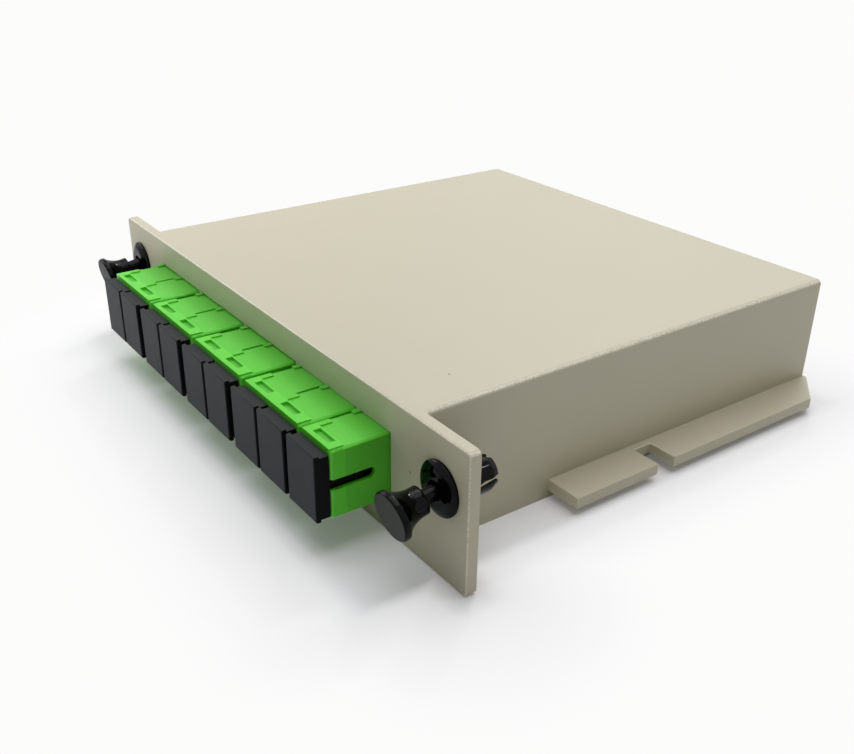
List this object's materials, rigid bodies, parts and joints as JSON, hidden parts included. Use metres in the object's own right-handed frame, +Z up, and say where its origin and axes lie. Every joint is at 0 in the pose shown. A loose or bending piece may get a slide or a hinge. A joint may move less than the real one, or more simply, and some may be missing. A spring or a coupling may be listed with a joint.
{
  "type": "fibre splitter cassette",
  "caption": "Flat plug-in splitter cassette with a long faceplate, a row of capped green fibre ports, side rails and push-pull latches.",
  "frame": {"origin": "middle of the footprint, on the surface that the cassette stands on", "axes": "+X along the faceplate, towards the single port; +Y from the ports to the rear of the box; +Z up"},
  "size_m": [0.13, 0.1134, 0.025],
  "materials": {
    "housing": "moulded plastic, warm light grey, fine matte grain",
    "cover": "moulded plastic, warm light grey, matte",
    "screw": "zinc plated steel",
    "adapter": "moulded plastic, bright green, satin",
    "insert": "natural white engineering plastic",
    "inner_plug": "green moulded plastic",
    "sleeve": "polished zirconia",
    "ferrule": "polished zirconia",
    "boot": "green rubber",
    "dust_cap": "black moulded plastic, satin",
    "grommet": "glossy black nylon",
    "plunger": "glossy black nylon",
    "module": "bright steel tube",
    "seal": "black rubber",
    "fibre": "white buffer tube"
  },
  "bodies": {
    "housing": {"housing_shell": "housing", "bottom_cover": "cover", "cover_screws": "screw", "single_adapter": "adapter", "split_sleeves": "sleeve", "ferrules": "ferrule", "strain_boots": "boot", "splitter_module": "module", "module_seals": "seal", "input_fibre": "fibre", "left_latch_grommet": "grommet", "right_latch_grommet": "grommet", "duplex_adapter_1": "adapter", "duplex_adapter_2": "adapter", "duplex_adapter_3": "adapter", "duplex_adapter_4": "adapter", "latch_insert_1": "insert", "latch_insert_2": "insert", "latch_insert_3": "insert", "latch_insert_4": "insert", "latch_insert_5": "insert", "latch_insert_6": "insert", "latch_insert_7": "insert", "latch_insert_8": "insert", "latch_insert_9": "insert", "inner_plug_1": "inner_plug", "inner_plug_2": "inner_plug", "inner_plug_3": "inner_plug", "inner_plug_4": "inner_plug", "inner_plug_5": "inner_plug", "inner_plug_6": "inner_plug", "inner_plug_7": "inner_plug", "inner_plug_8": "inner_plug", "inner_plug_9": "inner_plug", "output_fibre_1": "fibre", "output_fibre_2": "fibre", "output_fibre_3": "fibre", "output_fibre_4": "fibre", "output_fibre_5": "fibre", "output_fibre_6": "fibre", "output_fibre_7": "fibre", "output_fibre_8": "fibre"},
    "dust_cap_1": {"dust_cap_1": "dust_cap"},
    "dust_cap_2": {"dust_cap_2": "dust_cap"},
    "dust_cap_3": {"dust_cap_3": "dust_cap"},
    "dust_cap_4": {"dust_cap_4": "dust_cap"},
    "dust_cap_5": {"dust_cap_5": "dust_cap"},
    "dust_cap_6": {"dust_cap_6": "dust_cap"},
    "dust_cap_7": {"dust_cap_7": "dust_cap"},
    "dust_cap_8": {"dust_cap_8": "dust_cap"},
    "dust_cap_9": {"dust_cap_9": "dust_cap"},
    "left_plunger": {"left_latch_plunger": "plunger"},
    "right_plunger": {"right_latch_plunger": "plunger"}
  },
  "joints": [
    {"name": "dust_cap_1_pull", "type": "slide", "parent": "housing", "child": "dust_cap_1", "axis": [0, -1, 0], "range_m": [0, 0.012]},
    {"name": "dust_cap_2_pull", "type": "slide", "parent": "housing", "child": "dust_cap_2", "axis": [0, -1, 0], "range_m": [0, 0.012]},
    {"name": "dust_cap_3_pull", "type": "slide", "parent": "housing", "child": "dust_cap_3", "axis": [0, -1, 0], "range_m": [0, 0.012]},
    {"name": "dust_cap_4_pull", "type": "slide", "parent": "housing", "child": "dust_cap_4", "axis": [0, -1, 0], "range_m": [0, 0.012]},
    {"name": "dust_cap_5_pull", "type": "slide", "parent": "housing", "child": "dust_cap_5", "axis": [0, -1, 0], "range_m": [0, 0.012]},
    {"name": "dust_cap_6_pull", "type": "slide", "parent": "housing", "child": "dust_cap_6", "axis": [0, -1, 0], "range_m": [0, 0.012]},
    {"name": "dust_cap_7_pull", "type": "slide", "parent": "housing", "child": "dust_cap_7", "axis": [0, -1, 0], "range_m": [0, 0.012]},
    {"name": "dust_cap_8_pull", "type": "slide", "parent": "housing", "child": "dust_cap_8", "axis": [0, -1, 0], "range_m": [0, 0.012]},
    {"name": "dust_cap_9_pull", "type": "slide", "parent": "housing", "child": "dust_cap_9", "axis": [0, -1, 0], "range_m": [0, 0.012]},
    {"name": "left_latch_push", "type": "slide", "parent": "housing", "child": "left_plunger", "axis": [0, 0.9816, 0.1908], "range_m": [0, 0.0018]},
    {"name": "right_latch_push", "type": "slide", "parent": "housing", "child": "right_plunger", "axis": [0, 0.9816, 0.1908], "range_m": [0, 0.0018]}
  ]
}
